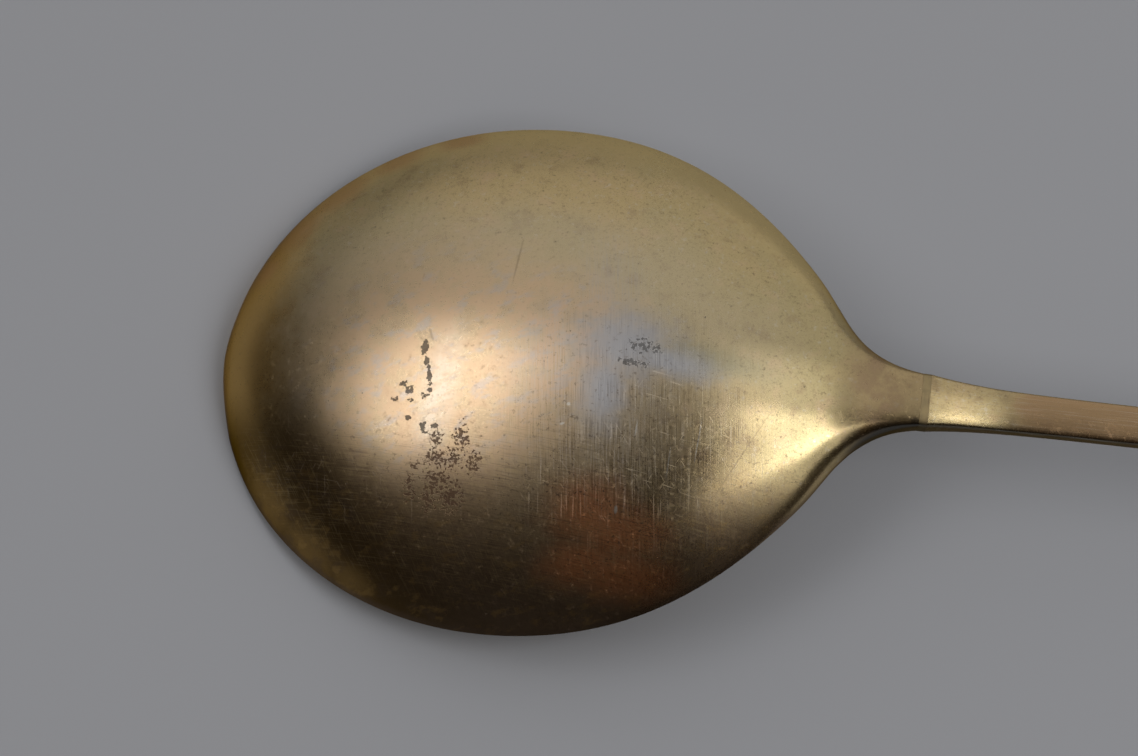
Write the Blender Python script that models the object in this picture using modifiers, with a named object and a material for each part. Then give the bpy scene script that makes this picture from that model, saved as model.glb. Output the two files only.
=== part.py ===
"""Chocolate muddler: an egg-shaped gilt bowl on a long thin stem, with a flat muddling disc on the far end.

It lies face down as it does on a table: the back of the bowl is up, the worn tip of the bowl and the edge of
the disc touch the ground, and the stem runs along +X. Metres, +Z up, origin under the middle of the object.
"""

import math

import bmesh
import bpy
from mathutils import Vector

# Whole object
OVERALL_LENGTH = 0.216
RIM_PITCH = math.radians(12.0)
STEM_FALL = math.radians(2.5)

# Bowl outline, seen from above, in runs from the tip towards the neck
BOWL_WIDTH = 0.038
TIP_LENGTH = 0.0221
FLANK_LENGTH = 0.0217
FLANK_WIDTH = 0.0157
NECK_LENGTH = 0.0074
NECK_WIDTH = 0.0039
TIP_FULLNESS = 2.0
SHOULDER_PULL = 0.46
FLANK_PULL = 0.41
FILLET_PULL = 0.29
NECK_PULL = 0.80
FLANK_ANGLE = math.radians(48.9)

# Bowl back and hollow
BOWL_CROWN = 0.0078
CROWN_PULL = 0.60
CROWN_NECK_PULL = 0.30
BOWL_WALL = 0.0010
RIM_LAND = 0.0010
TIP_WEAR = 0.0003
NECK_THICKNESS = 0.0033
NECK_SOLID = 0.0054
HOLLOW_END_ROUND = 0.0045

# Stem: a bar with a flattened back, which turns round towards the knop
STEM_WIDTH = 0.0028
STEM_THICKNESS = 0.0022
BAR_FULLNESS = 3.0
STEM_TAPER_LENGTH = 0.0035
STEM_LEVEL_RUN = 0.012
STEM_END_DIAMETER = 0.0035

# Soldered joints: a peg in a socket, with a ring of solder between the two faces
PEG_DIAMETER = 0.0018
PEG_LENGTH = 0.0032
JOINT_GAP = 0.0001
SEAM_WIDTH = 0.0004
SEAM_PROUD = 0.00005

# Baluster knop
KNOP_LENGTH = 0.0150
KNOP_BEAD_DIAMETER = 0.0052
KNOP_BEAD_WIDTH = 0.0018
KNOP_COVE_DIAMETER = 0.0034
KNOP_COVE_WIDTH = 0.0012
KNOP_BELLY_DIAMETER = 0.0074

# Muddling disc
DISC_DIAMETER = 0.0190
DISC_EDGE = 0.0018
DISC_HUB_DIAMETER = 0.0050
DISC_HUB_LENGTH = 0.0042
DISC_EDGE_ROUND = 0.0005

# Facets
TIP_STATIONS = 14
BACK_STATIONS = 28
ARCH_STEPS = 24
BED_STEPS = 8
ROUND_STEPS = 36
SEAM_STEPS = 20
EASE_STEPS = 4
STEM_SIDES = 28
STEM_STATIONS = 26
SMOOTH_ANGLE = math.radians(40)
CUTTER_REACH = 0.0020
CUTTER_DROP = 0.0002

# Colours: linear red, green, blue, then roughness
GILT = ((0.70, 0.52, 0.26), 0.34)
SOLDER = ((0.72, 0.68, 0.58), 0.42)

bowl_half_width = BOWL_WIDTH / 2
neck_half_width = NECK_WIDTH / 2
neck_rise = NECK_THICKNESS / 2
stem_half_width = STEM_WIDTH / 2
stem_rise = STEM_THICKNESS / 2
stem_end_radius = STEM_END_DIAMETER / 2
peg_radius = PEG_DIAMETER / 2
socket_radius = peg_radius + JOINT_GAP
socket_depth = PEG_LENGTH + JOINT_GAP
disc_radius = DISC_DIAMETER / 2
flank_start = TIP_LENGTH + FLANK_LENGTH
neck_end = flank_start + NECK_LENGTH
hollow_end = neck_end - NECK_SOLID
seam_space = SEAM_WIDTH + 2 * JOINT_GAP
neck_taper = (neck_half_width - stem_half_width) / STEM_TAPER_LENGTH


def clear_scene():
    for item in list(bpy.data.objects):
        bpy.data.objects.remove(item, do_unlink=True)


def new_collection(name):
    collection = bpy.data.collections.new(name)
    bpy.context.scene.collection.children.link(collection)
    return collection


def metal(name, finish):
    colour, roughness = finish
    material = bpy.data.materials.new(name)
    material.use_nodes = True
    shader = material.node_tree.nodes["Principled BSDF"]
    shader.inputs["Base Color"].default_value = (*colour, 1.0)
    shader.inputs["Roughness"].default_value = roughness
    shader.inputs["Metallic"].default_value = 1.0
    return material


def add_part(name, mesh, material):
    part = bpy.data.objects.new(name, mesh)
    mesh.materials.append(material)
    mesh.shade_smooth()
    mesh.set_sharp_from_angle(angle=SMOOTH_ANGLE)
    parts.objects.link(part)
    return part


def add_helper(name, mesh):
    helper = bpy.data.objects.new(name, mesh)
    helper.hide_render = True
    helper.display_type = "WIRE"
    cutters.objects.link(helper)
    return helper


def add_boolean(part, other, operation):
    change = part.modifiers.new(f"{operation.lower()} {other.name}", "BOOLEAN")
    change.operation = operation
    change.solver = "EXACT"
    change.object = other


def bezier(ends, amount):
    first, second, third, fourth = ends
    rest = 1 - amount
    return (
        rest**3 * first
        + 3 * rest**2 * amount * second
        + 3 * rest * amount**2 * third
        + amount**3 * fourth
    )


def bezier_height(ends, along):
    """The curve's height where it has run as far as along. Its run only ever grows."""
    low, high = 0.0, 1.0
    for _ in range(40):
        middle = (low + high) / 2
        if bezier(ends, middle).x < along:
            low = middle
        else:
            high = middle
    return bezier(ends, (low + high) / 2).y


def rounded_end(along, run, size):
    """Quarter of a superellipse: nothing at the tip, the full size where the run ends."""
    back = max(0.0, 1 - along / run)
    return size * max(0.0, 1 - back**TIP_FULLNESS) ** (1 / TIP_FULLNESS)


def shoulder_curve():
    turn = Vector((math.cos(FLANK_ANGLE), -math.sin(FLANK_ANGLE)))
    start = Vector((TIP_LENGTH, bowl_half_width))
    end = Vector((flank_start, FLANK_WIDTH / 2))
    return (
        start,
        start + Vector((SHOULDER_PULL * FLANK_LENGTH, 0)),
        end - turn * FLANK_PULL * FLANK_LENGTH,
        end,
    )


def neck_curve():
    turn = Vector((math.cos(FLANK_ANGLE), -math.sin(FLANK_ANGLE)))
    start = Vector((flank_start, FLANK_WIDTH / 2))
    end = Vector((neck_end, neck_half_width))
    return (
        start,
        start + turn * FILLET_PULL * NECK_LENGTH,
        end - Vector((1, -neck_taper)) * NECK_PULL * NECK_LENGTH,
        end,
    )


def crown_curve():
    run = neck_end - TIP_LENGTH
    start = Vector((TIP_LENGTH, BOWL_CROWN))
    end = Vector((neck_end, neck_rise))
    return (
        start,
        start + Vector((CROWN_PULL * run, 0)),
        end - Vector((CROWN_NECK_PULL * run, 0)),
        end,
    )


def half_width(along):
    if along < TIP_LENGTH:
        return rounded_end(along, TIP_LENGTH, bowl_half_width)
    if along < flank_start:
        return bezier_height(shoulder_curve(), along)
    return bezier_height(neck_curve(), along)


def crown(along):
    if along < TIP_LENGTH:
        return rounded_end(along, TIP_LENGTH, BOWL_CROWN)
    return bezier_height(crown_curve(), along)


def inset(shape, along, thickness):
    """The shape's value less a thickness measured square to its slope."""
    step = TIP_LENGTH / 1000
    slope = (shape(along + step) - shape(along - step)) / (2 * step)
    return shape(along) - thickness * math.hypot(1, slope)


def hollow_size(shape, along, thickness):
    """Half width or height of the hollow, which closes in a round end short of the solid neck."""
    if along < TIP_LENGTH:
        full = shape(TIP_LENGTH) - thickness
        return rounded_end(along - RIM_LAND, TIP_LENGTH - RIM_LAND, full)
    size = inset(shape, along, thickness)
    into_end = (along - hollow_end) / HOLLOW_END_ROUND + 1
    return size * math.sqrt(max(0.0, 1 - max(0.0, into_end) ** 2))


def neck_place(along):
    """Place and downward turn of a section: straight in the rim plane, then round the bend of the neck."""
    turned = max(0.0, along - hollow_end) / NECK_SOLID * (RIM_PITCH + STEM_FALL)
    radius = NECK_SOLID / (RIM_PITCH + STEM_FALL)
    straight = min(along, hollow_end)
    return (
        straight + radius * math.sin(turned),
        -radius * (1 - math.cos(turned)),
        turned,
    )


def bar_point(width, height, angle, squared):
    """A point of an oval, or of one that is squared up as the back of a bar is."""
    power = 1 + (2 / BAR_FULLNESS - 1) * squared
    side = math.copysign(abs(math.cos(angle)) ** power, math.cos(angle))
    rise = math.copysign(abs(math.sin(angle)) ** power, math.sin(angle))
    return width * side, height * rise


def arch(width, top, squared):
    """Points of half width and rise along an arc of a circle, or along a bar's back, from side to side."""
    radius = (width**2 + min(top, width) ** 2) / (2 * min(top, width))
    half_angle = math.asin(min(1.0, width / radius))
    points = []
    for i in range(ARCH_STEPS):
        angle = half_angle * (1 - 2 * i / ARCH_STEPS)
        side, rise = bar_point(width, top, math.pi * i / ARCH_STEPS, 1.0)
        points.append(
            (
                radius * math.sin(angle) * (1 - squared) + side * squared,
                (radius * math.cos(angle) - radius + min(top, width)) * (1 - squared) + rise * squared,
            )
        )
    return points


def bed(width, bottom, squared):
    """Points of half width and rise under the arch, from its far side back towards the first."""
    angles = [math.pi + math.pi * i / BED_STEPS for i in range(BED_STEPS)]
    return [bar_point(width, bottom, angle, squared) for angle in angles]


def section(along, width, top, bottom, drop=0.0):
    """One ring of points: an arch above the rim plane, or from a drop below it, and a bed under the arch."""
    run, height, turned = neck_place(along)
    into_neck = min(1.0, max(0.0, along - flank_start) / NECK_LENGTH)
    squared = into_neck**2 * (3 - 2 * into_neck)
    ring = []
    for side, rise in arch(width, top + drop, squared) + bed(width, bottom, squared):
        lift = rise - drop
        ring.append((run + lift * math.sin(turned), side, height + lift * math.cos(turned)))
    return ring


def loft(name, tip, rings, end=None):
    """A closed skin from a point, through rings of like count, to a flat cap or to a second point."""
    form = bmesh.new()
    loops = [[form.verts.new(point) for point in ring] for ring in rings]
    count = len(loops[0])
    for first, second in zip(loops, loops[1:]):
        for i in range(count):
            form.faces.new((first[i - 1], first[i], second[i], second[i - 1]))
    ends = [(tip, loops[0])] + ([(end, loops[-1])] if end else [])
    for point, loop in ends:
        pole = form.verts.new(point)
        for i in range(count):
            form.faces.new((pole, loop[i - 1], loop[i]))
    if not end:
        form.faces.new(loops[-1])
    bmesh.ops.recalc_face_normals(form, faces=form.faces)
    mesh = bpy.data.meshes.new(name)
    form.to_mesh(mesh)
    form.free()
    return mesh


def cylinder(name, radius, low, high):
    """A round bar on the local Z axis between two heights."""
    form = bmesh.new()
    bmesh.ops.create_cone(
        form, cap_ends=True, segments=SEAM_STEPS, radius1=radius, radius2=radius, depth=high - low
    )
    bmesh.ops.translate(form, verts=form.verts, vec=(0, 0, (low + high) / 2))
    mesh = bpy.data.meshes.new(name)
    form.to_mesh(mesh)
    form.free()
    return mesh


def slab(name, length, width, thickness):
    form = bmesh.new()
    bmesh.ops.create_cube(form, size=1)
    bmesh.ops.scale(form, verts=form.verts, vec=(length, width, thickness))
    mesh = bpy.data.meshes.new(name)
    form.to_mesh(mesh)
    form.free()
    return mesh


def add_turned(name, profile, steps, material):
    """A profile of radius and height, listed down its outer side, turned about the local Z axis."""
    mesh = bpy.data.meshes.new(name)
    points = [(radius, 0, height) for radius, height in profile]
    mesh.from_pydata(points, [(i, i + 1) for i in range(len(points) - 1)], [])
    part = add_part(name, mesh, material)
    spin = part.modifiers.new("turn", "SCREW")
    spin.axis = "Z"
    spin.steps = steps
    spin.render_steps = steps
    spin.use_merge_vertices = True
    spin.merge_threshold = 0.00001
    spin.use_smooth_shade = True
    return part


def front_stations(start):
    quarter = math.pi / 2 / TIP_STATIONS
    return [start + (TIP_LENGTH - start) * (1 - math.cos(quarter * i)) for i in range(1, TIP_STATIONS)]


def back_stations(end, count):
    return [TIP_LENGTH + (end - TIP_LENGTH) * i / count for i in range(count + 1)]


def neck_bottom(along):
    rounding = max(0.0, along - hollow_end) / NECK_SOLID
    return neck_rise * rounding**2 * (3 - 2 * rounding)


def build_bowl():
    """Bowl and solid neck in the rim plane's own frame, hollowed out and with a socket in the neck's end."""
    stations = front_stations(0) + back_stations(neck_end, BACK_STATIONS)
    rings = [section(s, half_width(s), crown(s), neck_bottom(s)) for s in stations]
    bowl = add_part("bowl", loft("bowl", (0, 0, 0), rings), gilt)

    inner = front_stations(RIM_LAND) + back_stations(hollow_end, BACK_STATIONS)[:-1]
    hollow_rings = []
    for s in inner:
        width = hollow_size(half_width, s, RIM_LAND)
        height = hollow_size(crown, s, BOWL_WALL)
        hollow_rings.append(section(s, width, height, CUTTER_REACH, CUTTER_DROP))
    hollow_mesh = loft("hollow", (RIM_LAND, 0, -CUTTER_DROP), hollow_rings, (hollow_end, 0, -CUTTER_DROP))
    hollow = add_helper("hollow_cutter", hollow_mesh)
    hollow.parent = bowl
    add_boolean(bowl, hollow, "DIFFERENCE")

    socket = add_helper("neck_socket_cutter", cylinder("socket", socket_radius, -socket_depth, CUTTER_REACH))
    socket.parent = neck_joint
    add_boolean(bowl, socket, "DIFFERENCE")

    worn = add_helper("tip_wear_cutter", slab("tip_wear", TIP_LENGTH, 2 * BOWL_WIDTH, CUTTER_REACH))
    worn.location = (tip_x, 0, -CUTTER_REACH / 2)
    add_boolean(bowl, worn, "DIFFERENCE")
    return bowl


def build_seam(name, parent, start, radius):
    """A ring of solder round a peg, from start along the parent's axis."""
    inner = socket_radius
    outer = radius + SEAM_PROUD
    edge = SEAM_PROUD * 2
    low, high = start + JOINT_GAP, start + JOINT_GAP + SEAM_WIDTH
    profile = [
        (inner, high),
        (outer - edge, high),
        (outer, high - edge),
        (outer, low + edge),
        (outer - edge, low),
        (inner, low),
        (inner, high),
    ]
    seam = add_turned(name, profile, SEAM_STEPS, solder)
    seam.parent = parent
    return seam


def build_neck_seam():
    """The solder between neck and stem, which has the neck's own section, with a hole for the peg."""
    edge = SEAM_PROUD * 2
    places = (
        (JOINT_GAP, SEAM_PROUD - edge),
        (JOINT_GAP + edge, SEAM_PROUD),
        (JOINT_GAP + SEAM_WIDTH - edge, SEAM_PROUD),
        (JOINT_GAP + SEAM_WIDTH, SEAM_PROUD - edge),
    )
    rings = []
    for place, proud in places:
        ring = []
        for i in range(STEM_SIDES):
            angle = 2 * math.pi * i / STEM_SIDES
            side, rise = bar_point(neck_half_width + proud, neck_rise + proud, angle, 1.0)
            ring.append((-rise, side, place))
        rings.append(ring)
    mesh = loft("neck_solder", (0, 0, JOINT_GAP), rings, (0, 0, JOINT_GAP + SEAM_WIDTH))
    seam = add_part("neck_solder", mesh, solder)
    seam.parent = neck_joint
    hole = add_helper("neck_seam_cutter", cylinder("seam_hole", socket_radius, -CUTTER_REACH, CUTTER_REACH))
    hole.parent = neck_joint
    add_boolean(seam, hole, "DIFFERENCE")
    return seam


def stem_ring(run, start, end):
    """One ring of the stem, which bends until it is level, thins fast, then swells and turns round."""
    bend = min(1.0, run / STEM_LEVEL_RUN)
    fall = -math.tan(STEM_FALL) * STEM_LEVEL_RUN
    drop = disc_radius - start.z
    height = start.z + drop * bend**2 * (3 - 2 * bend) + fall * bend * (1 - bend) ** 2
    slope = (6 * drop * bend * (1 - bend) + fall * (1 - bend) * (1 - 3 * bend)) / STEM_LEVEL_RUN
    centre = Vector((start.x + run, 0, height))
    tilt = -math.atan(slope)
    share = run / (end - start.x)
    swell = share**2 * (3 - 2 * share)
    thin = math.exp(-run / STEM_TAPER_LENGTH)
    width = stem_half_width + (neck_half_width - stem_half_width) * thin
    width += (stem_end_radius - stem_half_width) * swell
    thick = stem_rise + (neck_rise - stem_rise) * thin + (stem_end_radius - stem_rise) * swell
    ring = []
    for i in range(STEM_SIDES):
        side, lift = bar_point(width, thick, 2 * math.pi * i / STEM_SIDES, 1 - swell)
        ring.append(centre + Vector((lift * math.sin(tilt), side, lift * math.cos(tilt))))
    return ring


def build_stem():
    """The stem as a skin over rings, with a peg joined to each end."""
    start = joint_point + Vector((math.cos(STEM_FALL), 0, -math.sin(STEM_FALL))) * seam_space
    length = stem_end_x - start.x
    runs = [length * (i / STEM_STATIONS) ** 2 for i in range(STEM_STATIONS + 1)]
    rings = [stem_ring(run, start, stem_end_x) for run in runs]
    mesh = loft("stem", start, rings, Vector((stem_end_x, 0, disc_radius)))
    stem = add_part("stem", mesh, gilt)

    neck_peg = add_helper("neck_peg", cylinder("neck_peg", peg_radius, -PEG_LENGTH, seam_space + PEG_LENGTH))
    neck_peg.parent = neck_joint
    add_boolean(stem, neck_peg, "UNION")
    face = knop_top + seam_space
    knop_peg_mesh = cylinder("knop_peg", peg_radius, knop_top - PEG_LENGTH, face + PEG_LENGTH)
    knop_peg = add_helper("knop_peg", knop_peg_mesh)
    knop_peg.parent = finial
    add_boolean(stem, knop_peg, "UNION")
    return stem


def eased(nodes):
    """Profile points that swell and narrow smoothly between nodes of radius and height."""
    points = [nodes[0]]
    for (radius, height), (next_radius, next_height) in zip(nodes, nodes[1:]):
        for i in range(1, EASE_STEPS + 1):
            share = i / EASE_STEPS
            swell = (1 - math.cos(math.pi * share)) / 2
            points.append((radius + (next_radius - radius) * swell, height + (next_height - height) * share))
    return points


def build_knop():
    """The baluster between stem and disc, with a blind socket in each end."""
    bead = KNOP_BEAD_DIAMETER / 2
    cove = KNOP_COVE_DIAMETER / 2
    belly = KNOP_BELLY_DIAMETER / 2
    top, bottom = knop_top, knop_bottom
    half_bead = KNOP_BEAD_WIDTH / 2
    outside = eased(
        [
            (stem_end_radius, top),
            (bead, top - half_bead),
            (cove, top - KNOP_BEAD_WIDTH),
            (cove, top - KNOP_BEAD_WIDTH - KNOP_COVE_WIDTH),
            (belly, (top + bottom) / 2),
            (cove, bottom + KNOP_BEAD_WIDTH + KNOP_COVE_WIDTH),
            (cove, bottom + KNOP_BEAD_WIDTH),
            (bead, bottom + half_bead),
            (DISC_HUB_DIAMETER / 2, bottom),
        ]
    )
    upper_socket = [(0, top - socket_depth), (socket_radius, top - socket_depth), (socket_radius, top)]
    lower_end = bottom + socket_depth
    lower_socket = [(socket_radius, bottom), (socket_radius, lower_end), (0, lower_end)]
    knop = add_turned("baluster_knop", upper_socket + outside + lower_socket, ROUND_STEPS, gilt)
    knop.parent = finial
    return knop


def build_disc():
    """The muddling disc: a flat face outwards, a hollow flare behind it and a peg into the knop."""
    edge = DISC_EDGE_ROUND
    hub = DISC_HUB_DIAMETER / 2
    rim_back = disc_radius - edge
    flare = []
    for i in range(1, 2 * EASE_STEPS + 1):
        angle = math.pi / 2 * i / (2 * EASE_STEPS)
        flare.append(
            (
                hub + (rim_back - hub) * (1 - math.cos(angle)),
                DISC_HUB_LENGTH - (DISC_HUB_LENGTH - DISC_EDGE) * math.sin(angle),
            )
        )
    profile = [
        (0, DISC_HUB_LENGTH + seam_space + PEG_LENGTH),
        (peg_radius, DISC_HUB_LENGTH + seam_space + PEG_LENGTH),
        (peg_radius, DISC_HUB_LENGTH),
        (hub, DISC_HUB_LENGTH),
        *flare,
        (disc_radius, DISC_EDGE - edge),
        (disc_radius, edge),
        (rim_back, 0),
        (0, 0),
    ]
    disc = add_turned("muddling_disc", profile, ROUND_STEPS, gilt)
    disc.parent = finial
    return disc


clear_scene()
parts = new_collection("chocolate_muddler")
cutters = new_collection("cutters")
gilt = metal("silver gilt", GILT)
solder = metal("silver solder", SOLDER)

# The back of the bowl leans out past its tip, because the rim is pitched, and the tip's wear lowers the rim
lean = max(crown(s) * math.sin(RIM_PITCH) - s * math.cos(RIM_PITCH) for s in front_stations(0))
tip_x = lean - OVERALL_LENGTH / 2
joint_run, joint_height, _ = neck_place(neck_end)
joint_point = Vector(
    (
        tip_x + joint_run * math.cos(RIM_PITCH) - joint_height * math.sin(RIM_PITCH),
        0,
        joint_run * math.sin(RIM_PITCH) + joint_height * math.cos(RIM_PITCH) - TIP_WEAR,
    )
)
knop_bottom = DISC_HUB_LENGTH + seam_space
knop_top = knop_bottom + KNOP_LENGTH
stem_end_x = OVERALL_LENGTH / 2 - knop_top - seam_space

# Axes of the two ends of the stem: local Z runs out of the neck, and from the disc's face towards the stem
neck_joint = bpy.data.objects.new("neck_joint", None)
neck_joint.location = joint_point
neck_joint.rotation_euler = (0, math.pi / 2 + STEM_FALL, 0)
finial = bpy.data.objects.new("finial_axis", None)
finial.location = (OVERALL_LENGTH / 2, 0, disc_radius)
finial.rotation_euler = (0, -math.pi / 2, 0)
for axis in (neck_joint, finial):
    axis.empty_display_size = PEG_LENGTH
    parts.objects.link(axis)

bowl = build_bowl()
bowl.location = (tip_x, 0, -TIP_WEAR)
bowl.rotation_euler = (0, -RIM_PITCH, 0)
build_neck_seam()
build_stem()
build_seam("knop_solder", finial, knop_top, stem_end_radius)
build_knop()
build_seam("disc_solder", finial, DISC_HUB_LENGTH, DISC_HUB_DIAMETER / 2)
build_disc()
bpy.context.view_layer.update()
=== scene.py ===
import bmesh
import bpy
import math
from mathutils import Matrix, Vector


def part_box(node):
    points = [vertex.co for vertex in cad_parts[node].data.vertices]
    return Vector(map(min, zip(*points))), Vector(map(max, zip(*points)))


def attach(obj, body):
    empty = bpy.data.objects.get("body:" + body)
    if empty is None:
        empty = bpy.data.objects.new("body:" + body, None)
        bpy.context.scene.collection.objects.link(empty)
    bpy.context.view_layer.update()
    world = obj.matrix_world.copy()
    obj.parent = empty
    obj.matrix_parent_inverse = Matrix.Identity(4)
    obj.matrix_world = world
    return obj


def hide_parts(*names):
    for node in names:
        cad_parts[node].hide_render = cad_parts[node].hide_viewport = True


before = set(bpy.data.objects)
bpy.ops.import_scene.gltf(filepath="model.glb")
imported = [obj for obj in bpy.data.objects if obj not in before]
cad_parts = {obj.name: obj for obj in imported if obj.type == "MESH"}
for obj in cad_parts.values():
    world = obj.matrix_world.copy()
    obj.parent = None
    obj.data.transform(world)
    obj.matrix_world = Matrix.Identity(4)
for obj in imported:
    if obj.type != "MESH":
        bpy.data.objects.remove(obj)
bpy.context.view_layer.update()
print("frame loaded:", ", ".join(sorted(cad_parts)))


# Small tools for modelling by operator

weldGap = 0.000002  # points closer than this become one
sliceGap = 0.0000001  # a point this close to a plane lies in it
nearNone = 0.001  # a sine, cosine or angle under this counts as none


def startObject():
    if bpy.context.mode != "OBJECT":
        bpy.ops.object.mode_set(mode="OBJECT")
    bpy.ops.object.select_all(action="DESELECT")


def pickPiece(piece):
    startObject()
    piece.select_set(True)
    bpy.context.view_layer.objects.active = piece


def nameIt(name):
    piece = bpy.context.active_object
    piece.name = name
    piece.data.name = name
    return piece


def pickVerts(piece, numbers):
    bpy.ops.mesh.select_all(action="DESELECT")
    form = bmesh.from_edit_mesh(piece.data)
    form.verts.ensure_lookup_table()
    for number in numbers:
        form.verts[number].select_set(True)
    form.select_flush_mode()
    bmesh.update_edit_mesh(piece.data)


def pickEdges(piece, wanted):
    bpy.ops.mesh.select_all(action="DESELECT")
    bpy.ops.mesh.select_mode(type="EDGE")
    form = bmesh.from_edit_mesh(piece.data)
    for edge in form.edges:
        edge.select_set(wanted(edge))
    form.select_flush_mode()
    bmesh.update_edit_mesh(piece.data)


def ringTube(name, stations, sides):  # stations: place along X, half width, half height
    place, wide, high = stations[0]
    startObject()
    bpy.ops.mesh.primitive_circle_add(vertices=sides, radius=1, rotation=(0, math.pi / 2, 0))
    piece = nameIt(name)
    bpy.ops.object.transform_apply(rotation=True)
    bpy.ops.object.mode_set(mode="EDIT")
    bpy.ops.mesh.select_all(action="SELECT")
    bpy.ops.transform.resize(value=(1, wide, high), center_override=(0, 0, 0))
    bpy.ops.transform.translate(value=(place, 0, 0))
    for nextPlace, nextWide, nextHigh in stations[1:]:
        bpy.ops.mesh.extrude_edges_move(TRANSFORM_OT_translate={"value": (nextPlace - place, 0, 0)})
        ratio = (1, nextWide / wide, nextHigh / high)
        bpy.ops.transform.resize(value=ratio, center_override=(nextPlace, 0, 0))
        place, wide, high = nextPlace, nextWide, nextHigh
    bpy.ops.object.mode_set(mode="OBJECT")
    return piece


def closeSkin():  # weld the collapsed rings, cap the open ends, point the faces outwards
    bpy.ops.object.mode_set(mode="EDIT")
    bpy.ops.mesh.select_all(action="SELECT")
    bpy.ops.mesh.remove_doubles(threshold=weldGap)
    bpy.ops.mesh.select_all(action="DESELECT")
    bpy.ops.mesh.select_non_manifold(
        extend=False, use_wire=False, use_multi_face=False, use_non_contiguous=False)
    bpy.ops.mesh.fill_holes(sides=0)
    bpy.ops.mesh.select_all(action="SELECT")
    bpy.ops.mesh.normals_make_consistent(inside=False)
    bpy.ops.object.mode_set(mode="OBJECT")


def smoothSkin(piece, levels):
    rounder = piece.modifiers.new("smooth", "SUBSURF")
    rounder.levels = levels
    rounder.render_levels = levels
    bpy.ops.object.modifier_apply(modifier=rounder.name)


def shadeSmooth(piece, angle=math.radians(38)):
    pickPiece(piece)
    bpy.ops.object.shade_smooth_by_angle(angle=angle)


# Bowl: an egg-shaped shell with a solid neck, lying on its rim with the tip down

bowlMake = {
    "pitch": math.radians(12),  # the rim's lean, tip down
    "fall": math.radians(2.5),  # the stem's lean where it leaves the neck
    "tipRun": 0.0221, "tipFullness": 2.0,
    "flankRun": 0.0219, "flankWide": 0.0157, "flankAngle": math.radians(50.0),
    "neckRun": 0.0072, "neckWide": 0.0039, "neckThick": 0.0033, "neckTaper": 0.157,
    "flatStart": 0.0370, "flatEase": 2.6,  # where the back starts to flatten, and how slowly
    "barFullness": 9.0, "barCrown": 0.16,  # how square the backs of neck and stem are, and how domed
    "shoulderPull": 0.45, "flankPull": 0.416, "filletPull": 0.25, "neckPull": 0.66,
    "crown": 0.0078, "crownPull": 0.60, "crownNeckPull": 0.30,
    "wall": 0.0010, "rimLand": 0.0010,
    "neckSolid": 0.0054, "hollowRound": 0.0045,
    "tipWear": 0.0003,  # worn flat where the tip rests
    "tipRings": 18, "backRings": 30, "sides": 56, "levels": 2,
    "rimCrease": 0.72, "creaseSteps": 5,
}

bowlLow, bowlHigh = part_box("bowl")
halfWide = bowlHigh.y
flankStart = bowlMake["tipRun"] + bowlMake["flankRun"]
neckEnd = flankStart + bowlMake["neckRun"]
neckHalf = bowlMake["neckWide"] / 2
neckRise = bowlMake["neckThick"] / 2
hollowEnd = neckEnd - bowlMake["neckSolid"]
neckBend = bowlMake["pitch"] + bowlMake["fall"]
bendRadius = bowlMake["neckSolid"] / neckBend
pitchCos, pitchSin = math.cos(bowlMake["pitch"]), math.sin(bowlMake["pitch"])


def curvePoint(ends, share):
    first, second, third, fourth = ends
    rest = 1 - share
    return first * rest**3 + second * 3 * rest**2 * share + third * 3 * rest * share**2 + fourth * share**3


def curveHeight(ends, along, halvings=40):  # how high a Bezier stretch is where it has run that far
    low, high = 0.0, 1.0
    for i in range(halvings):
        middle = (low + high) / 2
        low, high = (middle, high) if curvePoint(ends, middle).x < along else (low, middle)
    return curvePoint(ends, low).y


def roundedEnd(along, run, size):
    fullness = bowlMake["tipFullness"]
    back = max(0.0, 1 - along / run)
    return size * max(0.0, 1 - back**fullness) ** (1 / fullness)


flankTurn = Vector((math.cos(bowlMake["flankAngle"]), -math.sin(bowlMake["flankAngle"])))
shoulderStart = Vector((bowlMake["tipRun"], halfWide))
flankPoint = Vector((flankStart, bowlMake["flankWide"] / 2))
neckPoint = Vector((neckEnd, neckHalf))
crownEnd = Vector((neckEnd, neckRise))
crownStart = Vector((bowlMake["tipRun"], bowlMake["crown"]))
crownRun = neckEnd - bowlMake["tipRun"]
shoulderCurve = (
    shoulderStart,
    shoulderStart + Vector((bowlMake["shoulderPull"] * bowlMake["flankRun"], 0)),
    flankPoint - flankTurn * bowlMake["flankPull"] * bowlMake["flankRun"],
    flankPoint,
)
neckCurve = (
    flankPoint,
    flankPoint + flankTurn * bowlMake["filletPull"] * bowlMake["neckRun"],
    neckPoint - Vector((1, -bowlMake["neckTaper"])) * bowlMake["neckPull"] * bowlMake["neckRun"],
    neckPoint,
)
crownCurve = (
    crownStart,
    crownStart + Vector((bowlMake["crownPull"] * crownRun, 0)),
    crownEnd - Vector((bowlMake["crownNeckPull"] * crownRun, 0)),
    crownEnd,
)


def wideAt(along):
    if along < bowlMake["tipRun"]:
        return roundedEnd(along, bowlMake["tipRun"], halfWide)
    return curveHeight(shoulderCurve if along < flankStart else neckCurve, along)


def highAt(along):
    if along < bowlMake["tipRun"]:
        return roundedEnd(along, bowlMake["tipRun"], bowlMake["crown"])
    return curveHeight(crownCurve, along)


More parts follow.
